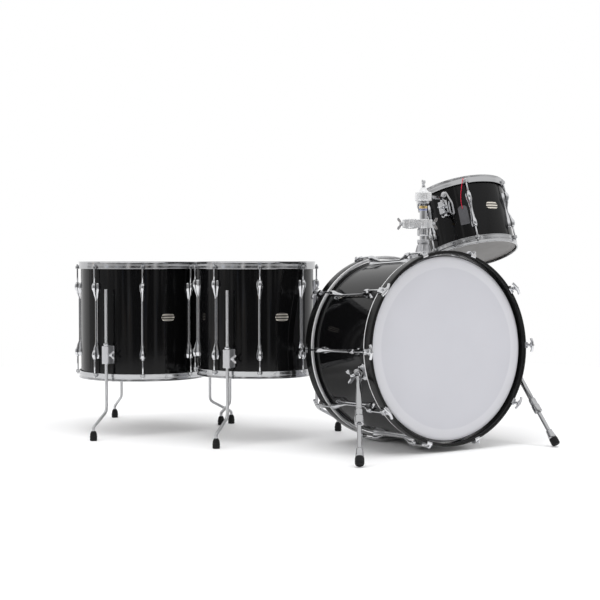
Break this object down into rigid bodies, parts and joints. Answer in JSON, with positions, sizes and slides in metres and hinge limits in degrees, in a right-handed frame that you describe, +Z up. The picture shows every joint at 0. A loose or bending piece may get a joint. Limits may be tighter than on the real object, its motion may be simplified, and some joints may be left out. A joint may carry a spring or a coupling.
{
  "type": "drum kit",
  "caption": "Drum kit: a bass drum on folding spurs that carries a tilting rack tom on a post, and two floor toms on sliding legs.",
  "frame": {"origin": "on the floor, under the middle of the kit's bounding box", "axes": "+Z up; the audience is towards -Y, and +X is to the right as the audience sees the kit"},
  "size_m": [1.6941, 1.1853, 0.9192],
  "materials": {
    "black_lacquer": "high gloss black lacquer",
    "black_hoop": "gloss black lacquered wood hoop, with chromed claws",
    "chrome": "polished chrome",
    "coated_film": "smooth white coated film",
    "smoky_film": "clear film that looks brownish grey",
    "rubber": "matt black rubber",
    "tag_card": "dark card, blank",
    "red_string": "red twine"
  },
  "bodies": {
    "bass_drum": {"bass_shell": "black_lacquer", "bass_front_hoop": "black_hoop", "bass_rear_hoop": "black_hoop", "bass_front_head": "coated_film", "bass_rear_head": "coated_film", "tom_mount_base": "chrome", "left_spur_bracket": "chrome", "right_spur_bracket": "chrome"},
    "left_spur": {"left_spur_tube": "chrome"},
    "left_spur_leg": {"left_spur_rod": "chrome", "left_spur_foot": "rubber"},
    "left_spur_wing": {"left_spur_bolt": "chrome"},
    "right_spur": {"right_spur_tube": "chrome"},
    "right_spur_leg": {"right_spur_rod": "chrome", "right_spur_foot": "rubber"},
    "right_spur_wing": {"right_spur_bolt": "chrome"},
    "post": {"mount_post": "chrome"},
    "clamp": {"accessory_clamp": "chrome"},
    "clamp_left_wing": {"clamp_left_bolt": "chrome"},
    "clamp_right_wing": {"clamp_right_bolt": "chrome"},
    "tilter": {"tilter_housing": "chrome"},
    "tilter_wing": {"tilter_bolt": "chrome"},
    "rack_tom": {"tom_arm": "chrome", "rack_tom_bracket": "chrome", "rack_tom_shell": "black_lacquer", "rack_tom_top_hoop": "chrome", "rack_tom_bottom_hoop": "chrome", "rack_tom_top_head": "coated_film", "rack_tom_bottom_head": "smoky_film", "hang_tag": "tag_card", "tag_string": "red_string"},
    "bracket_wing": {"rack_tom_bracket_bolt": "chrome"},
    "floor_tom_1": {"floor_tom_1_shell": "black_lacquer", "floor_tom_1_top_hoop": "chrome", "floor_tom_1_bottom_hoop": "chrome", "floor_tom_1_top_head": "coated_film", "floor_tom_1_bottom_head": "smoky_film"},
    "floor_tom_1_leg_a_slider": {"floor_tom_1_leg_a": "chrome", "floor_tom_1_foot_a": "rubber"},
    "floor_tom_1_wing_a": {"floor_tom_1_bolt_a": "chrome"},
    "floor_tom_1_leg_b_slider": {"floor_tom_1_leg_b": "chrome", "floor_tom_1_foot_b": "rubber"},
    "floor_tom_1_wing_b": {"floor_tom_1_bolt_b": "chrome"},
    "floor_tom_1_leg_c_slider": {"floor_tom_1_leg_c": "chrome", "floor_tom_1_foot_c": "rubber"},
    "floor_tom_1_wing_c": {"floor_tom_1_bolt_c": "chrome"},
    "floor_tom_2": {"floor_tom_2_shell": "black_lacquer", "floor_tom_2_top_hoop": "chrome", "floor_tom_2_bottom_hoop": "chrome", "floor_tom_2_top_head": "coated_film", "floor_tom_2_bottom_head": "smoky_film"},
    "floor_tom_2_leg_a_slider": {"floor_tom_2_leg_a": "chrome", "floor_tom_2_foot_a": "rubber"},
    "floor_tom_2_wing_a": {"floor_tom_2_bolt_a": "chrome"},
    "floor_tom_2_leg_b_slider": {"floor_tom_2_leg_b": "chrome", "floor_tom_2_foot_b": "rubber"},
    "floor_tom_2_wing_b": {"floor_tom_2_bolt_b": "chrome"},
    "floor_tom_2_leg_c_slider": {"floor_tom_2_leg_c": "chrome", "floor_tom_2_foot_c": "rubber"},
    "floor_tom_2_wing_c": {"floor_tom_2_bolt_c": "chrome"}
  },
  "joints": [
    {"name": "left_spur_fold", "type": "hinge", "parent": "bass_drum", "child": "left_spur", "pos_m": [0.16756, -0.36906, 0.2618], "axis": [-0.837, -0.5034, -0.2145], "range_deg": [-95, 5]},
    {"name": "left_spur_extend", "type": "slide", "parent": "left_spur", "child": "left_spur_leg", "axis": [-0.0215, -0.6454, -0.7636], "range_m": [-0.02, 0.06]},
    {"name": "left_spur_bolt_turn", "type": "hinge", "parent": "bass_drum", "child": "left_spur_wing", "pos_m": [0.16036, -0.37339, 0.25995], "axis": [-0.837, -0.5034, -0.2145], "continuous": true},
    {"name": "right_spur_fold", "type": "hinge", "parent": "bass_drum", "child": "right_spur", "pos_m": [0.71321, -0.04764, 0.2618], "axis": [0.8461, 0.488, -0.2145], "range_deg": [-5, 95]},
    {"name": "right_spur_extend", "type": "slide", "parent": "right_spur", "child": "right_spur_leg", "axis": [0.3904, -0.4311, -0.8135], "range_m": [-0.02, 0.06]},
    {"name": "right_spur_bolt_turn", "type": "hinge", "parent": "bass_drum", "child": "right_spur_wing", "pos_m": [0.72048, -0.04345, 0.25995], "axis": [0.8461, 0.488, -0.2145], "continuous": true},
    {"name": "post_height", "type": "slide", "parent": "bass_drum", "child": "post", "axis": [0, 0, 1], "range_m": [-0.01, 0.08]},
    {"name": "clamp_swivel", "type": "hinge", "parent": "post", "child": "clamp", "pos_m": [0.39548, -0.13211, 0.74275], "axis": [0, 0, 1], "range_deg": [-60, 45]},
    {"name": "clamp_left_bolt_turn", "type": "hinge", "parent": "clamp", "child": "clamp_left_wing", "pos_m": [0.32518, -0.13211, 0.74275], "axis": [-1, 0, 0], "continuous": true},
    {"name": "clamp_right_bolt_turn", "type": "hinge", "parent": "clamp", "child": "clamp_right_wing", "pos_m": [0.42578, -0.13211, 0.74275], "axis": [1, 0, 0], "continuous": true},
    {"name": "tilter_swivel", "type": "hinge", "parent": "post", "child": "tilter", "pos_m": [0.39548, -0.13211, 0.8334], "axis": [0, 0, 1], "range_deg": [-15, 2.5]},
    {"name": "tilter_bolt_turn", "type": "hinge", "parent": "tilter", "child": "tilter_wing", "pos_m": [0.39548, -0.13211, 0.8642], "axis": [0, 0, 1], "continuous": true},
    {"name": "tom_tilt", "type": "hinge", "parent": "tilter", "child": "rack_tom", "pos_m": [0.39548, -0.13211, 0.8334], "axis": [0.805, -0.5932, 0], "range_deg": [-0.5, 10]},
    {"name": "bracket_bolt_turn", "type": "hinge", "parent": "rack_tom", "child": "bracket_wing", "pos_m": [0.47117, -0.04967, 0.80209], "axis": [-0.5136, -0.8431, 0.1595], "continuous": true},
    {"name": "floor_tom_1_aside", "type": "slide", "parent": "bass_drum", "child": "floor_tom_1", "axis": [-1, 0, 0], "range_m": [0, 0.1]},
    {"name": "floor_tom_1_leg_a_height", "type": "slide", "parent": "floor_tom_1", "child": "floor_tom_1_leg_a_slider", "axis": [0, 0, -1], "range_m": [-0.1, 0.1]},
    {"name": "floor_tom_1_bolt_a_turn", "type": "hinge", "parent": "floor_tom_1", "child": "floor_tom_1_wing_a", "pos_m": [-0.68381, 0.0315, 0.29], "axis": [0.9239, -0.3827, 0], "continuous": true},
    {"name": "floor_tom_1_leg_b_height", "type": "slide", "parent": "floor_tom_1", "child": "floor_tom_1_leg_b_slider", "axis": [0, 0, -1], "range_m": [-0.1, 0.1]},
    {"name": "floor_tom_1_bolt_b_turn", "type": "hinge", "parent": "floor_tom_1", "child": "floor_tom_1_wing_b", "pos_m": [-0.36392, 0.38316, 0.29], "axis": [-0.3746, 0.9272, 0], "continuous": true},
    {"name": "floor_tom_1_leg_c_height", "type": "slide", "parent": "floor_tom_1", "child": "floor_tom_1_leg_c_slider", "axis": [0, 0, -1], "range_m": [-0.1, 0.1]},
    {"name": "floor_tom_1_bolt_c_turn", "type": "hinge", "parent": "floor_tom_1", "child": "floor_tom_1_wing_c", "pos_m": [-0.72631, 0.49771, 0.29], "axis": [-0.891, -0.454, 0], "continuous": true},
    {"name": "floor_tom_2_lift", "type": "slide", "parent": "bass_drum", "child": "floor_tom_2", "axis": [0, 0, 1], "range_m": [0, 0.04]},
    {"name": "floor_tom_2_leg_a_height", "type": "slide", "parent": "floor_tom_2", "child": "floor_tom_2_leg_a_slider", "axis": [0, 0, -1], "range_m": [-0.1, 0.1]},
    {"name": "floor_tom_2_bolt_a_turn", "type": "hinge", "parent": "floor_tom_2", "child": "floor_tom_2_wing_a", "pos_m": [-0.2491, -0.14053, 0.29], "axis": [0.9239, -0.3827, 0], "continuous": true},
    {"name": "floor_tom_2_leg_b_height", "type": "slide", "parent": "floor_tom_2", "child": "floor_tom_2_leg_b_slider", "axis": [0, 0, -1], "range_m": [-0.1, 0.1]},
    {"name": "floor_tom_2_bolt_b_turn", "type": "hinge", "parent": "floor_tom_2", "child": "floor_tom_2_wing_b", "pos_m": [0.03752, 0.17814, 0.29], "axis": [-0.3746, 0.9272, 0], "continuous": true},
    {"name": "floor_tom_2_leg_c_height", "type": "slide", "parent": "floor_tom_2", "child": "floor_tom_2_leg_c_slider", "axis": [0, 0, -1], "range_m": [-0.1, 0.1]},
    {"name": "floor_tom_2_bolt_c_turn", "type": "hinge", "parent": "floor_tom_2", "child": "floor_tom_2_wing_c", "pos_m": [-0.28978, 0.27958, 0.29], "axis": [-0.891, -0.454, 0], "continuous": true}
  ]
}
